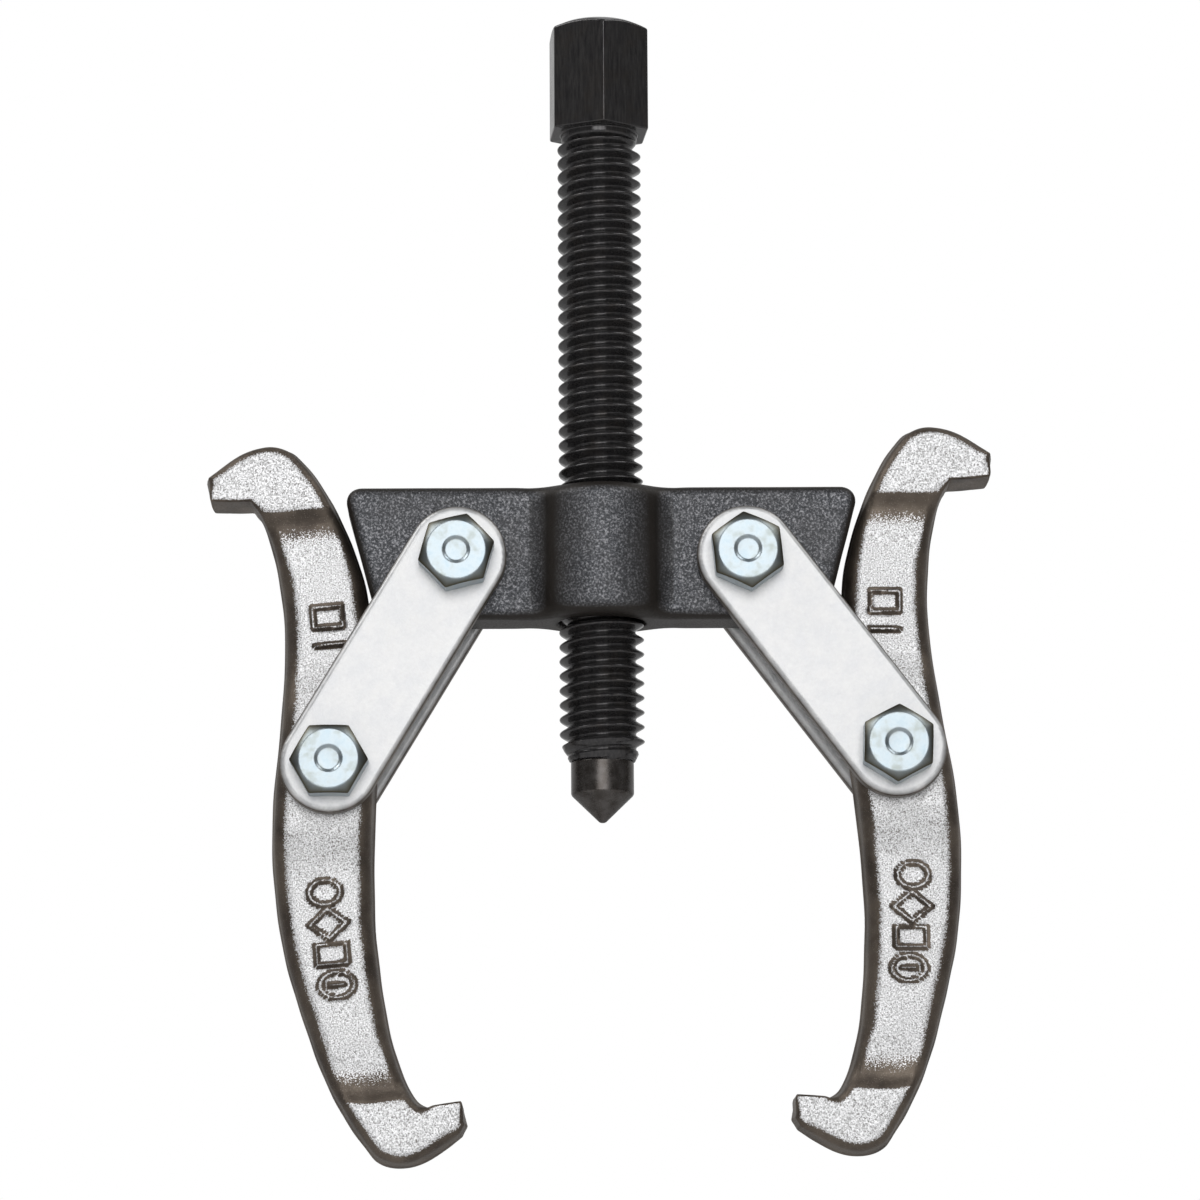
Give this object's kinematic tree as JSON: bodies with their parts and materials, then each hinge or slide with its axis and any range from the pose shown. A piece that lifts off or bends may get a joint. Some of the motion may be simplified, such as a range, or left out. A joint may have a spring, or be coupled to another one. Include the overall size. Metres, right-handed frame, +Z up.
{
  "type": "two-jaw gear puller",
  "caption": "Reversible two-jaw gear puller: a forcing screw runs through a crossbar, and S-shaped hooked jaws hang from it on paired links.",
  "frame": {"origin": "the tip of the screw point, on the forcing screw's axis, with the screw as it is set at rest", "axes": "+Z up along the forcing screw towards its hexagon, +X towards the right arm, -Y towards the bolt heads"},
  "size_m": [0.1137, 0.0271, 0.1672],
  "materials": {
    "black_forging": "black-oxide drop forging, fine matte grain",
    "black_screw": "black oxide, oiled",
    "screw_tip": "hardened and blackened",
    "shot_blasted_steel": "shot-blasted forging with brown-grey sides",
    "link_steel": "stamped plate, dull bright plating",
    "zinc_plate": "bright zinc plate",
    "nylon": "blue nylon ring"
  },
  "bodies": {
    "crossbar": {"crossbar": "black_forging"},
    "screw_point": {"screw_point": "screw_tip"},
    "forcing_screw": {"forcing_screw": "black_screw"},
    "left_links": {"left_front_link": "link_steel", "left_rear_link": "link_steel", "left_crossbar_bolt": "zinc_plate", "left_crossbar_nut": "zinc_plate", "left_crossbar_insert": "nylon", "left_jaw_bolt": "zinc_plate", "left_jaw_nut": "zinc_plate", "left_jaw_insert": "nylon"},
    "left_jaw": {"left_jaw": "shot_blasted_steel"},
    "right_links": {"right_front_link": "link_steel", "right_rear_link": "link_steel", "right_crossbar_bolt": "zinc_plate", "right_crossbar_nut": "zinc_plate", "right_crossbar_insert": "nylon", "right_jaw_bolt": "zinc_plate", "right_jaw_nut": "zinc_plate", "right_jaw_insert": "nylon"},
    "right_jaw": {"right_jaw": "shot_blasted_steel"}
  },
  "joints": [
    {"name": "screw_travel", "type": "slide", "parent": "crossbar", "child": "screw_point", "axis": [0, 0, 1], "range_m": [-0.05292, 0.01799]},
    {"name": "screw_turn", "type": "hinge", "parent": "screw_point", "child": "forcing_screw", "pos_m": [0, 0, 0.06], "axis": [0, 0, 1], "range_deg": [-9001, 3061]},
    {"name": "left_link_swing", "type": "hinge", "parent": "crossbar", "child": "left_links", "pos_m": [-0.0207, 0, 0.0375], "axis": [0, 1, 0], "range_deg": [-1, 44]},
    {"name": "left_jaw_tilt", "type": "hinge", "parent": "left_links", "child": "left_jaw", "pos_m": [-0.03862, 0, 0.00767], "axis": [0, 1, 0], "range_deg": [-13.4, 0.5]},
    {"name": "right_link_swing", "type": "hinge", "parent": "crossbar", "child": "right_links", "pos_m": [0.0207, 0, 0.0375], "axis": [0, -1, 0], "range_deg": [-6, 38]},
    {"name": "right_jaw_tilt", "type": "hinge", "parent": "right_links", "child": "right_jaw", "pos_m": [0.04164, 0, 0.00971], "axis": [0, -1, 0], "range_deg": [-11.6, 2]}
  ],
  "couplings": [
    {"joint": "screw_turn", "follows": "screw_travel", "rad_per_m": 2968.4},
    {"joint": "left_jaw_tilt", "follows": "left_link_swing", "ratio": -0.3},
    {"joint": "right_jaw_tilt", "follows": "right_link_swing", "ratio": -0.3}
  ]
}
